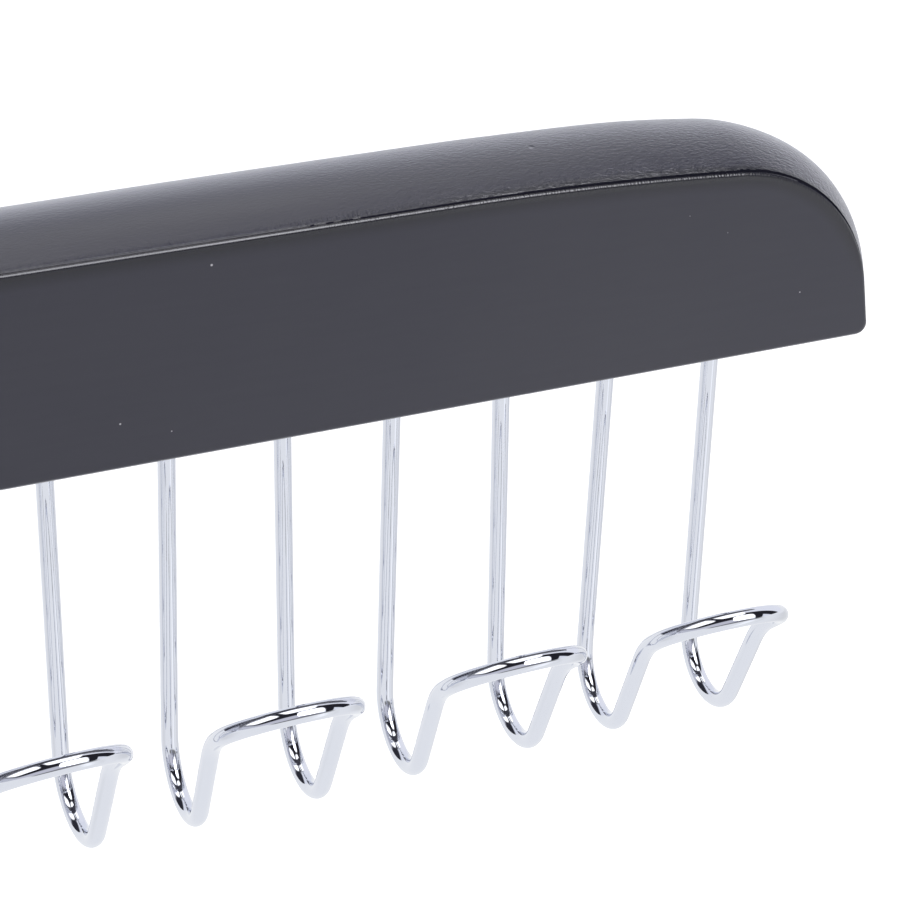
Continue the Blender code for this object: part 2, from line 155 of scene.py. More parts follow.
# Camera of the photograph
CAMERA_PLACE = (-0.023305, -0.369140, 0.105651)
CAMERA_TURN = -23.905
CAMERA_DIP = 29.854
CAMERA_ROLL = 1.763
CAMERA_LENS_MM = 108.869
CAMERA_SENSOR_MM = 36.0
CAMERA_NEAR = 0.01
CAMERA_FAR = 100.0

QUARTER_TURN = 90.0
HALF_TURN = 180.0


# Small helpers


def link(item):
    bpy.context.scene.collection.objects.link(item)
    return item


def object_from_mesh(name, mesh, materials, smooth_angle):
    """Object with these materials; each face keeps the number of its own."""
    numbers = [polygon.material_index for polygon in mesh.polygons]
    mesh.materials.clear()
    for material in materials:
        mesh.materials.append(material)
    mesh.polygons.foreach_set("material_index", numbers)
    mesh.shade_smooth()
    mesh.set_sharp_from_angle(angle=math.radians(smooth_angle))
    return link(bpy.data.objects.new(name, mesh))


def mesh_from_bmesh(name, shape):
    mesh = bpy.data.meshes.new(name)
    bmesh.ops.recalc_face_normals(shape, faces=shape.faces)
    shape.to_mesh(mesh)
    shape.free()
    return mesh


def baked(item, name):
    """The item's mesh with its modifiers applied."""
    bpy.context.view_layer.update()
    graph = bpy.context.evaluated_depsgraph_get()
    mesh = bpy.data.meshes.new_from_object(item.evaluated_get(graph))
    mesh.name = name
    return mesh


def place_on(item, node, body):
    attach(item, body)
    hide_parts(node)


# Node helpers


class Graph:
    """Short words for building a node tree."""

    def __init__(self, tree):
        self.tree = tree
        tree.nodes.clear()

    def node(self, kind, **settings):
        made = self.tree.nodes.new(kind)
        for key, value in settings.items():
            setattr(made, key, value)
        return made

    def feed(self, socket, value):
        if isinstance(value, bpy.types.NodeSocket):
            self.tree.links.new(value, socket)
        elif value is not None:
            socket.default_value = value

    def math(self, operation, *values):
        made = self.node("ShaderNodeMath", operation=operation)
        for socket, value in zip(made.inputs, values):
            self.feed(socket, value)
        return made.outputs[0]

    def product(self, first, *others):
        for factor in others:
            first = self.math("MULTIPLY", first, factor)
        return first

    def vector(self, operation, first, second=None):
        made = self.node("ShaderNodeVectorMath", operation=operation)
        self.feed(made.inputs[0], first)
        self.feed(made.inputs[1], second)
        return made.outputs["Value"] if operation == "LENGTH" else made.outputs[0]

    def fade(self, value, start, stop, low=0.0, high=1.0):
        """Smooth step of a value from start to stop."""
        made = self.node("ShaderNodeMapRange", interpolation_type="SMOOTHSTEP")
        for socket, item in zip(made.inputs[:5], (value, start, stop, low, high)):
            self.feed(socket, item)
        return made.outputs[0]

    def mixed(self, share, first, second):
        made = self.node("ShaderNodeMix", data_type="RGBA")
        self.feed(made.inputs[0], share)
        self.feed(made.inputs[6], first)
        self.feed(made.inputs[7], second)
        return made.outputs[2]

    def noise(self, place, scale, detail=2.0, roughness=0.5, distortion=0.0):
        made = self.node("ShaderNodeTexNoise")
        self.feed(made.inputs["Vector"], place)
        made.inputs["Scale"].default_value = scale
        made.inputs["Detail"].default_value = detail
        made.inputs["Roughness"].default_value = roughness
        made.inputs["Distortion"].default_value = distortion
        return made.outputs["Fac"]

    def stretched_noise(self, place, stretch, **settings):
        return self.noise(self.vector("MULTIPLY", place, stretch), 1.0, **settings)

    def bump(self, height, distance, normal=None):
        made = self.node("ShaderNodeBump")
        made.inputs["Strength"].default_value = 1.0
        made.inputs["Distance"].default_value = distance
        self.feed(made.inputs["Height"], height)
        self.feed(made.inputs["Normal"], normal)
        return made.outputs[0]


def surface_material(name):
    material = bpy.data.materials.new(name)
    material.use_nodes = True
    graph = Graph(material.node_tree)
    shader = graph.node("ShaderNodeBsdfPrincipled")
    output = graph.node("ShaderNodeOutputMaterial")
    graph.feed(output.inputs["Surface"], shader.outputs[0])
    return material, graph, shader


# Materials


# A fade has the start and the stop of a smooth step, and the values there if they aren't 0 and 1.
# Places in the lacquer are distances from the bar's middle plane or from its middle.
LACQUER_COLOUR = (0.0105, 0.0100, 0.0285, 1.0)
LACQUER_CLOUD_COLOUR = (0.0165, 0.0160, 0.0345, 1.0)
# Colour of the painted shade beside the upper edge and the groove
LACQUER_PAINTED_SHADE_COLOUR = (0.0004, 0.0004, 0.0085, 1.0)
DUST_COLOUR = (0.60, 0.58, 0.62, 1.0)
CROWN_FADE = (0.0105, 0.0107, 1.0, 0.0)
EDGE_FADE = (0.01080, 0.01090)
FACE_DEPTH = 0.01136
FACE_FADE = (FACE_DEPTH, 0.01144, 1.0, 0.0)
SATIN_SCALE = 900.0
SATIN_HEIGHT = 0.000002
SATIN_FADE = (0.3, 0.7, 0.37, 0.43)
PATCH_SCALE = 28.0
CLOUD_SCALE = 40.0
GRAIN_STRETCH = (60.0, 700.0, 700.0)
GRAIN_ROUGHNESS = 0.6
GRAIN_HEIGHT = 0.000006
RIPPLE_STRETCH = (950.0, 2600.0, 2600.0)
RIPPLE_DISTORTION = 0.5
RIPPLE_PATCH_FADE = (0.35, 0.62, 0.7, 1.0)
RIPPLE_ALONG_FADE = (0.10, 0.18, 0.3, 1.0)
RIPPLE_HEIGHT = 0.00019
# Short strokes on the crown, square to the groove
COMB_STRETCH = (2600.0, 500.0, 500.0)
COMB_DEPTH_FADE = (0.0090, 0.0104)
COMB_ALONG_FADE = (0.12, 0.14, 1.0, 0.1)
COMB_HEIGHT = 0.00012
# Fine beads along the upper edge
BEAD_STRETCH = (3200.0, 900.0, 900.0)
BEAD_ALONG_FADE = (0.095, 0.125, 0.2, 1.0)
BEAD_BUMP = 0.00006
# Painted shade, a darker lacquer colour beside the upper edge and the groove, and the polish of the
# edge itself
PAINTED_SHADE_EDGE_FADE = (0.1, 1.0)
PAINTED_SHADE_BEAD_FADE = (0.3, 0.6, 0.85, 1.0)
ARRIS_POLISH = 0.08
POLISH_FADE = (0.08, 0.13, 0.07, 0.18)
POLISH_END_FADE = (0.185, 0.197, 1.0, 0.0)
SHEEN_WEIGHT = 0.95
SHEEN_ROUGHNESS = 0.40
SHEEN_TINT = (0.90, 0.91, 1.0, 1.0)
COAT_IOR = 1.29
COAT_ROUGHNESS = 0.25
# Dust grains in the front face: place along the bar, height above the underside and radius
DUST_GRAINS = (
    (0.0944, 0.0331, 0.00025),
    (0.0790, 0.0082, 0.00020),
    (0.0873, 0.0053, 0.00014),
    (0.1996, 0.0105, 0.00016),
    (0.1845, 0.0241, 0.00008),
    (0.1771, 0.0283, 0.00008),
)
DENT_PLACE = (0.1523, -0.0017, -0.0710)
DENT_RADIUS = 0.0007
DENT_DEPTH = 0.0002


def dust_share(graph, parts):
    """Where the small pale dust grains lie under the lacquer of the front face."""
    in_front = graph.math("LESS_THAN", parts.outputs[1], -FACE_DEPTH)
    share = 0.0
    for along, height, radius in DUST_GRAINS:
        aside = graph.math("SUBTRACT", parts.outputs[0], along)
        above = graph.math("SUBTRACT", parts.outputs[2], UNDERSIDE_Z + height)
        squares = [graph.math("POWER", run, 2.0) for run in (aside, above)]
        away = graph.math("SQRT", graph.math("ADD", *squares))
        share = graph.math("MAXIMUM", graph.fade(away, radius / 2, radius, 1.0, 0.0), share)
    return graph.product(share, in_front)


def make_lacquer():
    """Black satin lacquer: smooth faces, a polished arris, a crown rippled like leather, and
    painted shade beside the upper edge and the groove.
    """
    material, graph, shader = surface_material("black satin lacquer")
    place = graph.node("ShaderNodeTexCoord").outputs["Object"]
    parts = graph.node("ShaderNodeSeparateXYZ")
    graph.feed(parts.inputs[0], place)
    along = graph.math("ABSOLUTE", parts.outputs[0])
    depth = graph.math("ABSOLUTE", parts.outputs[1])
    arris = graph.node("ShaderNodeAttribute", attribute_name="arris").outputs["Fac"]
    on_crown = graph.fade(depth, *CROWN_FADE)
    on_edge = graph.product(graph.fade(depth, *EDGE_FADE), graph.fade(depth, *FACE_FADE))

    grain = graph.stretched_noise(place, GRAIN_STRETCH, detail=4.0, roughness=GRAIN_ROUGHNESS)
    patches = graph.noise(place, PATCH_SCALE, detail=3.0)
    ripple = graph.stretched_noise(
        place, RIPPLE_STRETCH, detail=2.0, distortion=RIPPLE_DISTORTION
    )
    comb = graph.stretched_noise(place, COMB_STRETCH, detail=1.0)
    beads = graph.stretched_noise(place, BEAD_STRETCH, detail=1.0)
    from_dent = graph.vector("LENGTH", graph.vector("SUBTRACT", place, DENT_PLACE))
    patchy = graph.fade(patches, *RIPPLE_PATCH_FADE)
    ripple_along = graph.fade(along, *RIPPLE_ALONG_FADE)
    comb_depth = graph.fade(depth, *COMB_DEPTH_FADE)
    comb_along = graph.fade(along, *COMB_ALONG_FADE)
    normal = None
    for height, distance in (
        (graph.noise(place, SATIN_SCALE, detail=1.0), SATIN_HEIGHT),
        (grain, GRAIN_HEIGHT),
        (graph.product(ripple, patchy, ripple_along, on_crown), RIPPLE_HEIGHT),
        (graph.product(comb, comb_depth, comb_along, on_crown), COMB_HEIGHT),
        (graph.product(beads, graph.fade(along, *BEAD_ALONG_FADE), on_edge), BEAD_BUMP),
        (graph.fade(from_dent, 0.0, DENT_RADIUS), DENT_DEPTH),
    ):
        normal = graph.bump(height, distance, normal)
    graph.feed(shader.inputs["Normal"], normal)
    graph.feed(shader.inputs["Coat Normal"], normal)

    cloud = graph.noise(place, CLOUD_SCALE, detail=4.0)
    cloud = graph.math("ADD", cloud, graph.math("SUBTRACT", grain, 0.5))
    tint = graph.mixed(cloud, LACQUER_COLOUR, LACQUER_CLOUD_COLOUR)
    # Painted shade: the lacquer's colour is darkened near the upper edge and beside the groove,
    # broken up by the beads
    painted_shade = graph.product(graph.fade(arris, *PAINTED_SHADE_EDGE_FADE), graph.fade(beads, *PAINTED_SHADE_BEAD_FADE))
    tint = graph.mixed(painted_shade, tint, LACQUER_PAINTED_SHADE_COLOUR)
    tint = graph.mixed(dust_share(graph, parts), tint, DUST_COLOUR)
    graph.feed(shader.inputs["Base Color"], tint)

    satin = graph.fade(patches, *SATIN_FADE)
    satin = graph.math("MULTIPLY_ADD", arris, -ARRIS_POLISH, satin)
    polish = graph.product(
        on_edge, graph.fade(along, *POLISH_FADE), graph.fade(along, *POLISH_END_FADE)
    )
    graph.feed(shader.inputs["Roughness"], graph.math("SUBTRACT", satin, polish))
    for name, value in (
        ("Sheen Weight", SHEEN_WEIGHT),
        ("Sheen Roughness", SHEEN_ROUGHNESS),
        ("Sheen Tint", SHEEN_TINT),
        ("Coat Weight", 1.0),
        ("Coat IOR", COAT_IOR),
        ("Coat Roughness", COAT_ROUGHNESS),
    ):
        shader.inputs[name].default_value = value
    return material


# Colours of the painted-shade material; it renders dark because it has no reflection
CRUST_COLOUR = (0.013, 0.013, 0.022, 1.0)
CRUST_PALE_COLOUR = (0.030, 0.030, 0.045, 1.0)
CRUST_SCALE = 1800.0
CRUST_ROUGHNESS_FADE = (0.3, 0.7, 0.75, 0.95)
CRUST_HEIGHT = 0.00002


def make_groove_shade():
    """Painted shade: lacquer without gloss or reflection in the groove, and on the edge and the lip
    near the ends, so that they render dark.
    """
    material, graph, shader = surface_material("painted shade in the groove")
    place = graph.node("ShaderNodeTexCoord").outputs["Object"]
    crust = graph.noise(place, CRUST_SCALE, detail=3.0)
    tint = graph.mixed(crust, CRUST_COLOUR, CRUST_PALE_COLOUR)
    graph.feed(shader.inputs["Base Color"], tint)
    graph.feed(shader.inputs["Roughness"], graph.fade(crust, *CRUST_ROUGHNESS_FADE))
    graph.feed(shader.inputs["Normal"], graph.bump(crust, CRUST_HEIGHT))
    # Painted shade: no reflection at all, so these faces render dark
    shader.inputs["Specular IOR Level"].default_value = 0.0
    return material


CHROME_COLOUR = (0.765, 0.785, 0.85, 1.0)
CHROME_DULL_COLOUR = (0.735, 0.755, 0.825, 1.0)
CHROME_CLOUD_SCALE = 90.0
CHROME_ROUGHNESS_FADE = (0.3, 0.7, 0.03, 0.06)
DRAW_MARKS = (1500.0, 1500.0, 25.0)
DRAW_MARK_HEIGHT = 0.0000006
CHROME_WAVES = (420.0, 420.0, 300.0)
CHROME_WAVE_HEIGHT = 0.000004


def make_chrome():
    """Bright chrome over drawn wire: faint marks along the wire and a slightly uneven surface."""
    material, graph, shader = surface_material("bright chrome plating")
    place = graph.node("ShaderNodeAttribute", attribute_name="wire_place").outputs["Vector"]
    marks = graph.stretched_noise(place, DRAW_MARKS, detail=2.0)
    waves = graph.stretched_noise(place, CHROME_WAVES, detail=1.0)
    cloud = graph.noise(place, CHROME_CLOUD_SCALE, detail=3.0)
    normal = graph.bump(marks, DRAW_MARK_HEIGHT, graph.bump(waves, CHROME_WAVE_HEIGHT))
    tint = graph.mixed(cloud, CHROME_COLOUR, CHROME_DULL_COLOUR)
    graph.feed(shader.inputs["Base Color"], tint)
    graph.feed(shader.inputs["Roughness"], graph.fade(marks, *CHROME_ROUGHNESS_FADE))
    graph.feed(shader.inputs["Normal"], normal)
    shader.inputs["Metallic"].default_value = 1.0
    return material


ZINC_COLOUR = (0.50, 0.51, 0.52, 1.0)
ZINC_PALE_COLOUR = (0.63, 0.64, 0.66, 1.0)
ZINC_MOTTLE_SCALE = 2500.0
ZINC_MOTTLE_ROUGHNESS = 0.6
ZINC_MOTTLE_HEIGHT = 0.000008
ZINC_BLOOM_SCALE = 500.0
ZINC_ROUGHNESS_FADE = (0.3, 0.7, 0.28, 0.42)


def make_zinc():
    """Dull zinc plating with a fine crystalline mottle."""
    material, graph, shader = surface_material("zinc plated steel")
    place = graph.node("ShaderNodeTexCoord").outputs["Object"]
    mottle = graph.noise(place, ZINC_MOTTLE_SCALE, detail=4.0, roughness=ZINC_MOTTLE_ROUGHNESS)
    blooms = graph.noise(place, ZINC_BLOOM_SCALE, detail=2.0)
    graph.feed(shader.inputs["Base Color"], graph.mixed(mottle, ZINC_COLOUR, ZINC_PALE_COLOUR))
    graph.feed(shader.inputs["Roughness"], graph.fade(blooms, *ZINC_ROUGHNESS_FADE))
    graph.feed(shader.inputs["Normal"], graph.bump(mottle, ZINC_MOTTLE_HEIGHT))
    shader.inputs["Metallic"].default_value = 1.0
    return material


# Wire


WIRE_SIDES = 24
WIRE_SMOOTH_ANGLE = 40.0
# The marks on each wire are taken this much further on in the pattern than those on the last one
PATTERN_STEP = 1.0
ROUTE_SPACING = 0.0005
SAME_PLACE = ROUTE_SPACING / 1000
BEND_EASE = 0.0024
BEND_STEP = 3.0
RUN_STEP = 0.006
TROUGH_STEPS = 60
LIP_STEPS = 12
CORNER_STEPS = 40


def even_route(points):
    """Points a fixed distance apart along a broken line."""
    points = np.array([tuple(p) for p in points])
    runs = np.linalg.norm(np.diff(points, axis=0), axis=1)
    points = points[np.r_[True, runs > SAME_PLACE]]
    runs = np.linalg.norm(np.diff(points, axis=0), axis=1)
    stations = np.r_[0, np.cumsum(runs)]
    count = max(2, round(stations[-1] / ROUTE_SPACING))
    wanted = np.linspace(0, stations[-1], count + 1)
    return np.stack([np.interp(wanted, stations, points[:, axis]) for axis in range(3)], axis=1)


def eased_route(points):
    """The route with its sudden changes of bend eased over a short length."""
    even = even_route(points)
    half = max(1, round(BEND_EASE / ROUTE_SPACING / 2))
    padded = np.concatenate([np.repeat(even[:1], half, 0), even, np.repeat(even[-1:], half, 0)])
    window = np.hanning(2 * half + 3)[1:-1]
    window /= window.sum()
    eased = np.stack([np.convolve(padded[:, axis], window, "valid") for axis in range(3)], axis=1)
    eased[0] = even[0]
    eased[-1] = even[-1]
    return eased


def thinned_route(points):
    """Keep a point wherever the route has turned or run on by a step."""
    kept = [0]
    heading = None
    for index in range(1, len(points) - 1):
        here = points[index + 1] - points[index]
        here /= np.linalg.norm(here)
        if heading is None:
            heading = here
        turned = math.degrees(math.acos(min(1.0, float(heading @ here))))
        if turned >= BEND_STEP or np.linalg.norm(points[index] - points[kept[-1]]) >= RUN_STEP:
            kept.append(index)
            heading = here
    kept.append(len(points) - 1)
    return points[kept]


def crosswise(route):
    """Two directions across the route at each point, carried along it without twist."""
    tangents = np.gradient(route, axis=0)
    tangents /= np.linalg.norm(tangents, axis=1)[:, None]
    first = np.cross(tangents[0], (0.0, 1.0, 0.0))
    sides = [first / np.linalg.norm(first)]
    for tangent in tangents[1:]:
        carried = sides[-1] - tangent * (sides[-1] @ tangent)
        sides.append(carried / np.linalg.norm(carried))
    sides = np.array(sides)
    return sides, np.cross(tangents, sides)


def tube_mesh(name, route, radii, sides, start):
    """Closed tube along a route; wire_place is the place round and along the straight wire."""
    route = np.asarray(route)
    radii = np.broadcast_to(radii, len(route))
    first, second = crosswise(route)
    runs = np.r_[0, np.cumsum(np.linalg.norm(np.diff(route, axis=0), axis=1))]
    angles = np.linspace(0, 2 * math.pi, sides, endpoint=False)
    cosines, sines = np.cos(angles)[None, :], np.sin(angles)[None, :]
    rims = first[:, None, :] * cosines[:, :, None] + second[:, None, :] * sines[:, :, None]
    points = route[:, None, :] + rims * radii[:, None, None]
    lengths = np.repeat((runs + start)[:, None], sides, axis=1)
    straight = np.stack([radii[:, None] * cosines, radii[:, None] * sines, lengths], axis=2)
    faces = []
    for ring in range(len(route) - 1):
        for side in range(sides):
            after = (side + 1) % sides
            base = ring * sides
            faces.append((base + side, base + after, base + sides + after, base + sides + side))
    faces.append(tuple(range(sides))[::-1])
    last = (len(route) - 1) * sides
    faces.append(tuple(range(last, last + sides)))
    mesh = bpy.data.meshes.new(name)
    mesh.from_pydata(points.reshape(-1, 3).tolist(), [], faces)
    mesh.attributes.new("wire_place", "FLOAT_VECTOR", "POINT")
    mesh.attributes["wire_place"].data.foreach_set("vector", straight.reshape(-1).astype("float32"))
    mesh.update()
    return mesh


def leg_side_view():
    """Forward reach and height of one half of a belt hook, from inside the bar to its loop."""
    riser_tilt = math.radians(RISER_TILT)
    lip_tilt = math.radians(LIP_TILT)
    trough_z = TROUGH_RADIUS - HOOK_DROP
    points = [(0.0, LEG_EMBEDDED), (0.0, 0.0)]
    sweep = math.pi - riser_tilt
    for step in range(TROUGH_STEPS + 1):
        angle = math.pi + sweep * step / TROUGH_STEPS
        reach = TROUGH_RADIUS * (1 + math.cos(angle))
        points.append((reach, trough_z + TROUGH_RADIUS * math.sin(angle)))
    forward, height = points[-1]
    forward += RISER_LENGTH * math.sin(riser_tilt)
    height += RISER_LENGTH * math.cos(riser_tilt)
    for step in range(LIP_STEPS + 1):
        tilt = riser_tilt + (lip_tilt - riser_tilt) * step / LIP_STEPS
        reach = LIP_RADIUS * (math.cos(riser_tilt) - math.cos(tilt))
        climb = LIP_RADIUS * (math.sin(tilt) - math.sin(riser_tilt))
        points.append((forward + reach, height + climb))
    forward, height = points[-1]
    forward += LIP_LENGTH * math.sin(lip_tilt)
    height += LIP_LENGTH * math.cos(lip_tilt)
    points.append((forward, height))
    return points


def leg_route(side, splay_angle):
    splay = math.tan(math.radians(splay_angle))
    route = []
    run = 0.0
    last = None
    for forward, height in leg_side_view():
        if last is not None and last[1] <= 0.0:
            run += math.hypot(forward - last[0], height - last[1])
        route.append(Vector((side * (LEG_SPACING / 2 + splay * run), -forward, height)))
        last = (forward, height)
    return route


def rounded_corner(before, corner, after, radius, steps):
    inward = (before - corner).normalized()
    outward = (after - corner).normalized()
    half_angle = inward.angle(outward) / 2
    centre = corner + (inward + outward).normalized() * (radius / math.sin(half_angle))
    start = corner + inward * (radius / math.tan(half_angle)) - centre
    stop = corner + outward * (radius / math.tan(half_angle)) - centre
    return [centre + radius * start.slerp(stop, step / steps) for step in range(steps + 1)]


def belt_hook_route(splay_angle):
    left = leg_route(-1, splay_angle)
    right = leg_route(1, splay_angle)
    first_corner = rounded_corner(left[-2], left[-1], right[-1], LOOP_CORNER_RADIUS, CORNER_STEPS)
    second_corner = rounded_corner(left[-1], right[-1], right[-2], LOOP_CORNER_RADIUS, CORNER_STEPS)
    return left[:-1] + first_corner + second_corner + right[-2::-1]


def belt_hook_placements():
    first = -BELT_HOOK_PITCH * (BELT_HOOK_COUNT - 1) / 2
    placements = []
    for index in range(BELT_HOOK_COUNT):
        turn = math.radians(BELT_HOOK_TURNS[index])
        lean = math.radians(BELT_HOOK_LEANS[index])
        aside = first + BELT_HOOK_PITCH * index + 2 * WIRE_RADIUS * BELT_HOOK_SHIFT_SHARES[index]
        height = UNDERSIDE_Z + 2 * WIRE_RADIUS * BELT_HOOK_LIFT_SHARES[index]
        place = Matrix.Translation((aside, 0.0, height))
        placements.append(place @ Matrix.Rotation(turn, 4, "Z") @ Matrix.Rotation(-lean, 4, "Y"))
    return placements


def make_belt_hooks(chrome):
    for index, placement in enumerate(belt_hook_placements()):
        route = thinned_route(eased_route(belt_hook_route(BELT_HOOK_SPLAYS[index])))
        name = f"belt_hook_{index + 1}"
        start = PATTERN_STEP * index
        mesh = tube_mesh(f"{name}_wire", route, WIRE_RADIUS, WIRE_SIDES, start)
        mesh.transform(placement)
        hook = object_from_mesh(f"{name}_wire", mesh, [chrome], WIRE_SMOOTH_ANGLE)
        place_on(hook, name, "hanger")


NECK_STEPS = 30
WRAP_STEPS = 110
TIP_STEPS = 18
ROUND_STEPS = 6
BEAD_STEPS = 5
SWIVEL_SIDES = 32


def in_plane(reach, height):
    """A place in the swivel hook's own plane."""
    return Vector((reach, 0.0, height))


def heading_at(angle):
    return in_plane(math.cos(angle), math.sin(angle))


def swivel_hook_stations():
    """Places and radii of the swivel hook from its threaded end to its rounded tip."""
    bead_bottom = COLLAR_TOP_Z + SEAT_GAP
    bead_top = bead_bottom + BEAD_HEIGHT
    middle = bead_bottom + BEAD_HEIGHT / 2
    stations = [(in_plane(0.0, height), SWIVEL_RADIUS) for height in (SHANK_END_Z, bead_bottom)]
    for step in range(-BEAD_STEPS, BEAD_STEPS + 1):
        angle = math.pi / 2 * step / BEAD_STEPS
        flank = BEAD_RADIUS - BEAD_EDGE * (1 - math.cos(angle))
        stations.append((in_plane(0.0, middle + BEAD_HEIGHT / 2 * math.sin(angle)), flank))
    stations += [(in_plane(0.0, height), SWIVEL_RADIUS) for height in (bead_top, NECK_START_Z)]
    neck_stop = math.atan2(WRAP_CENTRE_Z - NECK_START_Z, -NECK_RADIUS)
    for step in range(1, NECK_STEPS + 1):
        angle = math.pi + (neck_stop - math.pi) * step / NECK_STEPS
        reach = NECK_RADIUS * (1 + math.cos(angle))
        place = in_plane(reach, NECK_START_Z + NECK_RADIUS * math.sin(angle))
        stations.append((place, SWIVEL_RADIUS))
    wrap_start = neck_stop - math.pi
    wrap_stop = math.radians(WRAP_END)
    for step in range(1, WRAP_STEPS + 1):
        angle = wrap_start + (wrap_stop - wrap_start) * step / WRAP_STEPS
        height = WRAP_CENTRE_Z + WRAP_RADIUS * math.sin(angle)
        stations.append((in_plane(WRAP_RADIUS * math.cos(angle), height), SWIVEL_RADIUS))
    tip_centre = stations[-1][0] + heading_at(wrap_stop) * TIP_RADIUS
    for step in range(1, TIP_STEPS + 1):
        angle = wrap_stop - math.radians(TIP_FLARE) * step / TIP_STEPS
        stations.append((tip_centre - TIP_RADIUS * heading_at(angle), SWIVEL_RADIUS))
    end = stations[-1][0]
    heading = (end - stations[-2][0]).normalized()
    for step in range(1, ROUND_STEPS + 1):
        angle = math.pi / 2 * step / ROUND_STEPS
        radius = SWIVEL_RADIUS - TIP_ROUNDING * (1 - math.cos(angle))
        stations.append((end + heading * (TIP_ROUNDING * math.sin(angle)), radius))
    return stations


def make_swivel_hook(chrome):
    stations = swivel_hook_stations()
    route = [tuple(place) for place, radius in stations]
    radii = np.array([radius for place, radius in stations])
    mesh = tube_mesh("swivel_hook_wire", route, radii, SWIVEL_SIDES, -PATTERN_STEP)
    hook = object_from_mesh("swivel_hook_wire", mesh, [chrome], WIRE_SMOOTH_ANGLE)
    place_on(hook, "swivel_hook", "rod_hook")


# Bar


CREST_STEPS = 84
SHOULDER_STEPS = 64
FOOT_STEPS = 8
ROLL_STEPS = 5
EDGE_STEPS = 6
CROWN_STEPS = 36
FLAT_STEPS = 210
BAR_SMOOTH_ANGLE = 30.0
# Number of the painted-shade material, dark lacquer without gloss, among the bar's materials
SHADE_MATERIAL_NUMBER = 1


def turned_points(centre, radius, start, stop, steps):
    angles = [start + (stop - start) * step / steps for step in range(steps + 1)]
    return [(centre[0] + radius * math.sin(a), centre[1] + radius * math.cos(a)) for a in angles]


def shoulder_centre(flat_run):
    droop = math.radians(CREST_DROOP)
    reach = CREST_RADIUS - SHOULDER_RADIUS
    return flat_run + reach * math.sin(droop), FACE_HEIGHT - CREST_RADIUS + reach * math.cos(droop)


def foot_centre(flat_run, rise, base):
    slope = math.radians(END_SLOPE)
    shoulder_x, shoulder_z = shoulder_centre(flat_run)
    height = base + FOOT_RADIUS
    end_distance = SHOULDER_RADIUS + rise - FOOT_RADIUS
    distance = shoulder_x * math.sin(slope) + shoulder_z * math.cos(slope) + end_distance
    return (distance - height * math.cos(slope)) / math.sin(slope), height


def half_outline(rise, base):
    """Right half of the bar's outline, swollen outwards by rise."""
    droop = math.radians(CREST_DROOP)
    slope = math.radians(END_SLOPE)
    flat_run = FACE_LENGTH / 2 - FOOT_RADIUS - foot_centre(0.0, 0.0, 0.0)[0]
    flat = [(flat_run * step / FLAT_STEPS, FACE_HEIGHT + rise) for step in range(FLAT_STEPS)]
    arcs = (
        ((flat_run, FACE_HEIGHT - CREST_RADIUS), CREST_RADIUS + rise, 0.0, droop, CREST_STEPS),
        (shoulder_centre(flat_run), SHOULDER_RADIUS + rise, droop, slope, SHOULDER_STEPS),
        (foot_centre(flat_run, rise, base), FOOT_RADIUS, slope, math.pi, FOOT_STEPS),
    )
    crest, shoulder, foot = [turned_points(*arc) for arc in arcs]
    return flat + crest + shoulder[1:] + foot


EDGE_DEPTH = EDGE_ROUNDING * (1 - math.cos(math.radians(EDGE_TURN)))
CROWN_HALF_WIDTH = BAR_THICKNESS / 2 - EDGE_DEPTH - GROOVE_WIDTH - ROLL_DEPTH
# Rings within this share of the crown's half width from its rim are its lip
CROWN_LIP_SHARE = 0.001
# Places in the noise that keep its uses apart
RAGGED_LANE = 3.0
FINE_LANE = 7.0
FINE_LAYER = 5.0
SHADE_LAYER = 9.0


def smooth_share(value, start, stop):
    share = min(1.0, max(0.0, (value - start) / (stop - start)))
    return share * share * (3 - 2 * share)


def groove_wander(along, inward):
    """How far the crown's ragged lip stands out into the groove at a place along the bar."""
    ragged = noise.noise(Vector((along / WANDER_PITCH, RAGGED_LANE * inward, 0.0)))
    fine = noise.noise(Vector((along / FINE_PITCH, FINE_LANE * inward, FINE_LAYER)))
    narrow = 1.0 - smooth_share(abs(along), *LIP_NARROW_STRETCH)
    return GROOVE_WANDER * (
        LIP_NARROW_SHARE * narrow + LIP_RAGGED_SHARE * ragged + LIP_FINE_SHARE * fine
    )


def crown_swell(along):
    """How far the crown stands above its even section at a place along the bar."""
    along = abs(along)
    bulge = CROWN_BULGE * math.exp(-(((along - CROWN_BULGE_PLACE) / CROWN_WAVE) ** 2))
    hollow = CROWN_HOLLOW * math.exp(-(((along - CROWN_HOLLOW_PLACE) / CROWN_WAVE) ** 2))
    sink = CROWN_SINK * smooth_share(along, *CROWN_SINK_STRETCH)
    swell = (CROWN_SWELL + sink) * smooth_share(along, *CROWN_SWELL_STRETCH)
    return swell + bulge - hollow - sink


def bar_ring(shape, depth, rise, base, arris, wander):
    """One ring of the bar; arris is its nearness to the upper edge, wander its part in the lip."""
    layer = shape.verts.layers.float["arris"]
    right = half_outline(rise, base)
    left = [(-x, z) for x, z in reversed(right[1:])]
    inward = -1.0 if depth > 0 else 1.0
    over_crown = abs(depth) < CROWN_HALF_WIDTH * (1 - CROWN_LIP_SHARE)
    calm = [FACE_HEIGHT * share for share in END_CALM_SHARES]
    ring = []
    for x, z in left + right:
        high = smooth_share(z, *calm)
        nearness = arris * high
        moved = lifted = 0.0
        if over_crown:
            # On the crown, nearness marks where the painted shade lies beside the groove
            nearness *= smooth_share(abs(x), *PAINTED_SHADE_STRETCH)
            lifted = crown_swell(x) * (1 - (depth / CROWN_HALF_WIDTH) ** 4) * high
        else:
            moved = ROLL_DEPTH * nearness ** 2 - wander * groove_wander(x, inward)
        vertex = shape.verts.new((x, depth + inward * moved, UNDERSIDE_Z + z + lifted))
        vertex[layer] = nearness
        ring.append(vertex)
    return ring


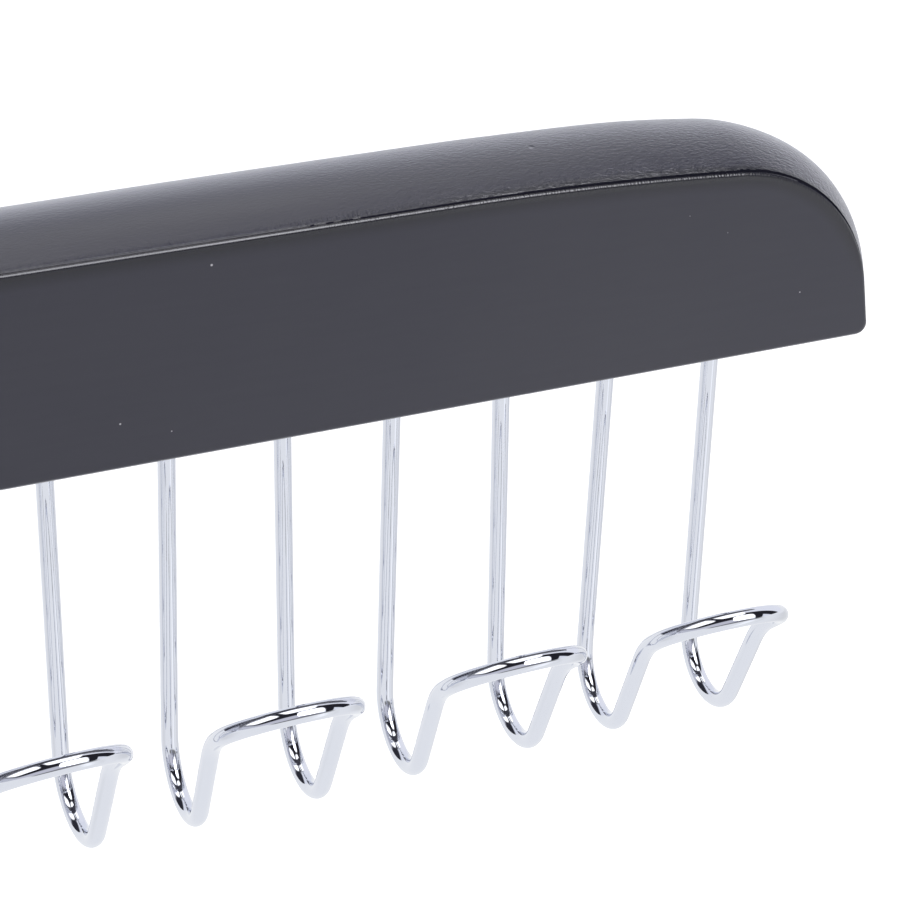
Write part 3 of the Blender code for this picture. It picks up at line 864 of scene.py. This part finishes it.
def front_stations():
    """Depth, rise, base, arris and wander of the rings from the front face to the groove."""
    front = -BAR_THICKNESS / 2
    stations = []
    for step in range(ROLL_STEPS + 1):
        share = step / ROLL_STEPS
        inset = EDGE_ROUNDING + ROLL_WIDTH * (1 - share)
        stations.append((front, -inset, inset, share, 0.0))
    for step in range(1, EDGE_STEPS + 1):
        angle = math.radians(EDGE_TURN) * step / EDGE_STEPS
        inset = EDGE_ROUNDING * (1 - math.sin(angle))
        stations.append((front + EDGE_ROUNDING * (1 - math.cos(angle)), -inset, inset, 1.0, 0.0))
    edge = front + EDGE_DEPTH
    for across, down, wander in GROOVE_SECTION_SHARES:
        stations.append((edge + GROOVE_WIDTH * across, -GROOVE_DEPTH * down, 0.0, 1.0, wander))
    return stations


def crown_stations():
    """The same for the rings over the crown, whose section is fuller behind than in front."""
    stations = []
    for step in range(CROWN_STEPS + 1):
        share = math.sin(math.pi / 2 * (2 * step / CROWN_STEPS - 1))
        full = math.sqrt(max(0.0, 1 - share ** 2))
        fullness = CROWN_FRONT_SHARE if share < 0 else CROWN_BACK_SHARE
        swell = (1 - fullness) * full ** 2 + fullness * full
        depth = CROWN_HALF_WIDTH * share
        arris = smooth_share(abs(depth), CROWN_HALF_WIDTH - PAINTED_SHADE_WIDTH, CROWN_HALF_WIDTH)
        wander = 1.0 if step in (0, CROWN_STEPS) else 0.0
        rise = CROWN_LIP_RISE + (CROWN_RISE - CROWN_LIP_RISE) * swell
        stations.append((depth, rise, 0.0, arris, wander))
    return stations


EDGE_RING = ROLL_STEPS + EDGE_STEPS // 2 + 1
GROOVE_RING = ROLL_STEPS + EDGE_STEPS + 1
LIP_RING = GROOVE_RING + len(GROOVE_SECTION_SHARES)


def shade_start(ring):
    """Where along the bar a ring of faces turns to the painted shade and how raggedly, or None if
    it doesn't.
    """
    if EDGE_RING <= ring < GROOVE_RING:
        return EDGE_SHADE_PLACE, EDGE_SHADE_RAGGED
    if GROOVE_RING <= ring < LIP_RING:
        return GROOVE_SHADE_PLACE, GROOVE_SHADE_RAGGED
    if LIP_RING <= ring < LIP_RING + LIP_SHADE_RINGS:
        return LIP_SHADE_PLACE + LIP_SHADE_STEP * (ring - LIP_RING), EDGE_SHADE_RAGGED
    return None


def is_shaded(along, start, ragged):
    """Whether a place along the bar gets the painted shade, dark lacquer without gloss."""
    return abs(along) > start + ragged * noise.noise(
        Vector((along / WANDER_PITCH, 0.0, SHADE_LAYER))
    )


def bar_blank():
    """The bar before its holes are cut, as a loft of rings from its front face to its back face."""
    shape = bmesh.new()
    shape.verts.layers.float.new("arris")
    front = front_stations()
    back = [(-depth, *rest) for depth, *rest in reversed(front)]
    rings = [bar_ring(shape, *station) for station in front + crown_stations() + back]
    underside = []
    for number, (near, far) in enumerate(zip(rings, rings[1:])):
        count = len(near)
        shading = shade_start(min(number, len(rings) - 2 - number))
        for index in range(count):
            after = (index + 1) % count
            face = shape.faces.new((near[index], near[after], far[after], far[index]))
            if after == 0:
                underside.append(face)
            elif shading and is_shaded(near[index].co.x, *shading):
                # Painted shade: these faces get the dark material without gloss
                face.material_index = SHADE_MATERIAL_NUMBER
    shape.faces.new(rings[0])
    shape.faces.new(rings[-1])
    bmesh.ops.dissolve_faces(shape, faces=underside[GROOVE_RING:-GROOVE_RING])
    return shape


LEG_HOLE_SIDES = 20
TURNED_SIDES = 64


def leg_hole_cutter():
    shape = bmesh.new()
    middle = (LEG_HOLE_DEPTH - CUT_OVERRUN) / 2
    for placement in belt_hook_placements():
        for side in (-1, 1):
            bmesh.ops.create_cone(
                shape,
                cap_ends=True,
                segments=LEG_HOLE_SIDES,
                radius1=LEG_HOLE_RADIUS,
                radius2=LEG_HOLE_RADIUS,
                depth=LEG_HOLE_DEPTH + CUT_OVERRUN,
                matrix=placement @ Matrix.Translation((side * LEG_SPACING / 2, 0.0, middle)),
            )
    return link(bpy.data.objects.new("leg_holes", mesh_from_bmesh("leg_holes", shape)))


def turned_mesh(name, profile):
    """Closed solid of revolution from a profile of radius and height, from top to bottom."""
    shape = bmesh.new()
    columns = []
    for side in range(TURNED_SIDES):
        angle = 2 * math.pi * side / TURNED_SIDES
        x, y = math.cos(angle), math.sin(angle)
        columns.append([shape.verts.new((radius * x, radius * y, z)) for radius, z in profile])
    for near, far in zip(columns, columns[1:] + columns[:1]):
        for index in range(len(profile) - 1):
            shape.faces.new((near[index], far[index], far[index + 1], near[index + 1]))
    shape.faces.new([column[0] for column in columns])
    shape.faces.new([column[-1] for column in columns])
    return mesh_from_bmesh(name, shape)


def swivel_bore_cutter():
    spot_radius = COLLAR_RADIUS + SEAT_GAP
    bore_radius = BUSH_RADIUS + BORE_CLEARANCE
    profile = [
        (spot_radius, BAR_TOP_Z + CUT_OVERRUN),
        (spot_radius, SPOT_FACE_Z),
        (bore_radius, SPOT_FACE_Z),
        (bore_radius, COUNTERBORE_ROOF_Z),
        (COUNTERBORE_RADIUS, COUNTERBORE_ROOF_Z),
        (COUNTERBORE_RADIUS, UNDERSIDE_Z - CUT_OVERRUN),
    ]
    return link(bpy.data.objects.new("swivel_bore", turned_mesh("swivel_bore", profile)))


def make_bar(finishes):
    mesh = mesh_from_bmesh("bar_blank", bar_blank())
    blank = object_from_mesh("bar_blank", mesh, finishes, BAR_SMOOTH_ANGLE)
    cutters = [leg_hole_cutter(), swivel_bore_cutter()]
    for cutter in cutters:
        modifier = blank.modifiers.new(cutter.name, "BOOLEAN")
        modifier.operation = "DIFFERENCE"
        modifier.solver = "EXACT"
        modifier.object = cutter
    mesh = baked(blank, "bar_wood")
    for item in [blank] + cutters:
        bpy.data.objects.remove(item, do_unlink=True)
    bar = object_from_mesh("bar_wood", mesh, finishes, BAR_SMOOTH_ANGLE)
    place_on(bar, "bar", "hanger")


# Studio


LEVEL = (1.0, 1.0, 0.0)
WHITE = (1.0, 1.0, 1.0, 1.0)
WALL_COLOUR = (0.86, 0.88, 0.95, 1.0)
CEILING_COLOUR = (0.02, 0.02, 0.026, 1.0)
PANEL_COLOUR = (1.7, 1.7, 1.7, 1.0)
CORE_COLOUR = (8.0, 8.0, 8.4, 1.0)
# Cards round the object, painted one over the other. Each has its centre and half size, to the
# right and to the back, in degrees from straight overhead, then its turn, the share of its size
# that is soft, and its colour.
CARDS = (
    (12, -88, 44, 11, 0, 0.30, (0.22, 0.22, 0.26, 1.0)),
    (-30, -58, 46, 28, 0, 0.25, (0.64, 0.64, 0.71, 1.0)),
    (-78, 8, 18, 48, 0, 0.25, (0.60, 0.61, 0.68, 1.0)),
    (-6, -8, 62, 44, 0, 0.12, CEILING_COLOUR),
    (-45, 56, 21, 29, -25, 0.25, (0.03, 0.03, 0.04, 1.0)),
    (66, -15, 33, 18, 0, 0.15, CEILING_COLOUR),
    (56, -48, 9, 27, -16, 0.15, CEILING_COLOUR),
    (60, 30, 42, 26, 0, 0.12, (0.92, 0.93, 0.99, 1.0)),
    (-42, 3, 22, 29, 0, 0.10, PANEL_COLOUR),
    (8, 9, 18, 26, 0, 0.10, PANEL_COLOUR),
    (28, -48, 17, 27, -16, 0.10, PANEL_COLOUR),
)
# The brightest part of the front soft box, which shows in the first reflection alone
CORE_CARD = (19, -50, 11, 18, 0, 0.30)
FIRST_REFLECTION_LIMIT = 1.5
CARD_CORNER_POWER = 4


def card_share(graph, across, along, card):
    """How much of a card shows in a direction given in degrees from straight overhead."""
    centre_x, centre_y, half_x, half_y, turn, softness = card
    cosine, sine = math.cos(math.radians(turn)), math.sin(math.radians(turn))
    powers = []
    for half, first, second in ((half_x, cosine, -sine), (half_y, sine, cosine)):
        start = -(centre_x * first + centre_y * second) / half
        partial = graph.math("MULTIPLY_ADD", along, second / half, start)
        reach = graph.math("MULTIPLY_ADD", across, first / half, partial)
        reach = graph.math("ABSOLUTE", reach)
        powers.append(graph.math("POWER", reach, CARD_CORNER_POWER))
    bounds = [(1 + side * softness) ** CARD_CORNER_POWER for side in (-1, 1)]
    return graph.fade(graph.math("ADD", *powers), *bounds, 1.0, 0.0)


def make_world():
    """White room with a dark ceiling and white soft boxes under it; the camera sees plain white."""
    world = bpy.data.worlds.new("white room")
    bpy.context.scene.world = world
    world.use_nodes = True
    graph = Graph(world.node_tree)
    direction = graph.node("ShaderNodeTexCoord").outputs["Generated"]
    parts = graph.node("ShaderNodeSeparateXYZ")
    graph.feed(parts.inputs[0], direction)
    level = graph.vector("LENGTH", graph.vector("MULTIPLY", direction, LEVEL))
    overhead = graph.math("DEGREES", graph.math("ARCTAN2", level, parts.outputs[2]))
    spread = graph.math("DIVIDE", overhead, level)
    across, along = [graph.product(part, spread) for part in parts.outputs[:2]]
    room = WALL_COLOUR
    for *card, colour in CARDS:
        room = graph.mixed(card_share(graph, across, along, card), room, colour)
    path = graph.node("ShaderNodeLightPath").outputs
    first_time = graph.math("LESS_THAN", path["Glossy Depth"], FIRST_REFLECTION_LIMIT)
    core = card_share(graph, across, along, CORE_CARD)
    core = graph.product(core, path["Is Glossy Ray"], first_time)
    room = graph.mixed(core, room, CORE_COLOUR)
    background = graph.node("ShaderNodeBackground")
    graph.feed(background.inputs["Color"], graph.mixed(path["Is Camera Ray"], room, WHITE))
    background.inputs["Strength"].default_value = 1.0
    output = graph.node("ShaderNodeOutputWorld")
    graph.feed(output.inputs["Surface"], background.outputs[0])


FLOOR_Z = -0.62
FLOOR_SIZE = 30.0
FLOOR_COLOUR = (0.80, 0.80, 0.80, 1.0)
FLOOR_GLOW = 0.45
FLOOR_IN_METAL = (0.945, 0.955, 0.965, 1.0)
FLOOR_CENTRE = (0.12, 0.0, 0.0)
# A dark patch far out on the floor, with its heading and half width in degrees
FAR_SHADE_HEADING = 170.0
FAR_SHADE_WIDTH = 45.0
FAR_SHADE_CORE_SHARE = 0.7
FAR_SHADE_FADE = (1.7, 3.2, 0.0, 0.75)
# Soft streaks of light and shade on the floor, running outwards between two distances: heading from
# the back and half width in degrees, and change of brightness
STREAKS_START_FADE = (0.25, 0.55)
STREAKS_STOP_FADE = (1.3, 2.7, 1.0, 0.0)
FLOOR_STREAKS = (
    (-80, 36, -0.13),
    (78, 40, -0.16),
    (25, 20, 0.04),
    (130, 8, -0.06),
    (150, 12, 0.26),
)


def turn_between(graph, heading, middle):
    """Degrees between two headings, either way round."""
    turn = graph.math("SUBTRACT", heading, middle)
    return graph.math("ABSOLUTE", graph.math("WRAP", turn, HALF_TURN, -HALF_TURN))


def floor_in_metal(graph):
    """Brightness of the floor as polished metal shows it, with its soft streaks."""
    place = graph.node("ShaderNodeTexCoord").outputs["Object"]
    offset = graph.vector("MULTIPLY", graph.vector("SUBTRACT", place, FLOOR_CENTRE), LEVEL)
    parts = graph.node("ShaderNodeSeparateXYZ")
    graph.feed(parts.inputs[0], offset)
    heading = graph.math("DEGREES", graph.math("ARCTAN2", parts.outputs[0], parts.outputs[1]))
    distance = graph.vector("LENGTH", offset)
    start, stop = [graph.fade(distance, *fade) for fade in (STREAKS_START_FADE, STREAKS_STOP_FADE)]
    brightness = 0.0
    for middle, half_width, change in FLOOR_STREAKS:
        streak = graph.fade(turn_between(graph, heading, middle), 0.0, half_width, change, 0.0)
        brightness = graph.math("ADD", streak, brightness)
    level = graph.math("MULTIPLY_ADD", brightness, graph.product(start, stop), 1.0)
    aside = turn_between(graph, heading, FAR_SHADE_HEADING)
    core = FAR_SHADE_WIDTH * FAR_SHADE_CORE_SHARE
    beside = graph.fade(aside, core, FAR_SHADE_WIDTH, 1.0, 0.0)
    shade = graph.product(beside, graph.fade(distance, *FAR_SHADE_FADE))
    return graph.product(level, graph.math("SUBTRACT", 1.0, shade))


def make_floor():
    """Pale floor that keeps the object's shadow, white to the camera and toned in metal."""
    mesh = bpy.data.meshes.new("studio_floor")
    half = FLOOR_SIZE / 2
    corners = [(x * half, y * half, FLOOR_Z) for x, y in ((-1, -1), (1, -1), (1, 1), (-1, 1))]
    mesh.from_pydata(corners, [], [(0, 1, 2, 3)])
    material = bpy.data.materials.new("studio floor")
    material.use_nodes = True
    graph = Graph(material.node_tree)
    matt = graph.node("ShaderNodeBsdfDiffuse")
    matt.inputs["Color"].default_value = FLOOR_COLOUR
    glow = graph.node("ShaderNodeEmission")
    glow.inputs["Color"].default_value = WHITE
    path = graph.node("ShaderNodeLightPath").outputs
    graph.feed(glow.inputs["Strength"], graph.product(path["Is Camera Ray"], FLOOR_GLOW))
    seen_floor = graph.node("ShaderNodeAddShader")
    graph.feed(seen_floor.inputs[0], matt.outputs[0])
    graph.feed(seen_floor.inputs[1], glow.outputs[0])
    mirrored = graph.node("ShaderNodeEmission")
    mirrored.inputs["Color"].default_value = FLOOR_IN_METAL
    graph.feed(mirrored.inputs["Strength"], floor_in_metal(graph))
    in_metal = graph.math("MAXIMUM", path["Is Glossy Ray"], path["Is Transmission Ray"])
    either = graph.node("ShaderNodeMixShader")
    graph.feed(either.inputs[0], in_metal)
    graph.feed(either.inputs[1], seen_floor.outputs[0])
    graph.feed(either.inputs[2], mirrored.outputs[0])
    output = graph.node("ShaderNodeOutputMaterial")
    graph.feed(output.inputs["Surface"], either.outputs[0])
    mesh.materials.append(material)
    floor = link(bpy.data.objects.new("studio_floor", mesh))


def make_camera():
    data = bpy.data.cameras.new("camera")
    data.sensor_width = CAMERA_SENSOR_MM
    data.lens = CAMERA_LENS_MM
    data.clip_start = CAMERA_NEAR
    data.clip_end = CAMERA_FAR
    camera = link(bpy.data.objects.new("camera", data))
    turn = Matrix.Rotation(math.radians(CAMERA_TURN), 4, "Z")
    dip = Matrix.Rotation(math.radians(QUARTER_TURN - CAMERA_DIP), 4, "X")
    roll = Matrix.Rotation(math.radians(CAMERA_ROLL), 4, "Z")
    camera.matrix_world = Matrix.Translation(CAMERA_PLACE) @ turn @ dip @ roll
    bpy.context.scene.camera = camera


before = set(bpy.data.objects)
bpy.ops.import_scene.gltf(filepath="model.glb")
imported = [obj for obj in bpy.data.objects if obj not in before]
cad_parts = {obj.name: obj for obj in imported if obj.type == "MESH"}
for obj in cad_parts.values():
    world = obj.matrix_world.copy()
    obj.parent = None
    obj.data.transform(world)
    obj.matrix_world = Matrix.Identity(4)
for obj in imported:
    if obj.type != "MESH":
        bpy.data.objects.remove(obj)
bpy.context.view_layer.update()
lacquer = make_lacquer()
chrome = make_chrome()
zinc = make_zinc()
make_bar([lacquer, make_groove_shade()])
make_belt_hooks(chrome)
make_swivel_hook(chrome)
for node, finish in (("collar", chrome), ("bush", zinc), ("washer", zinc), ("lock_nut", zinc)):
    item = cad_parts[node]
    for material_slot in item.material_slots:
        material_slot.material = finish
make_world()
make_floor()
make_camera()
bpy.context.scene.view_settings.view_transform = "Standard"
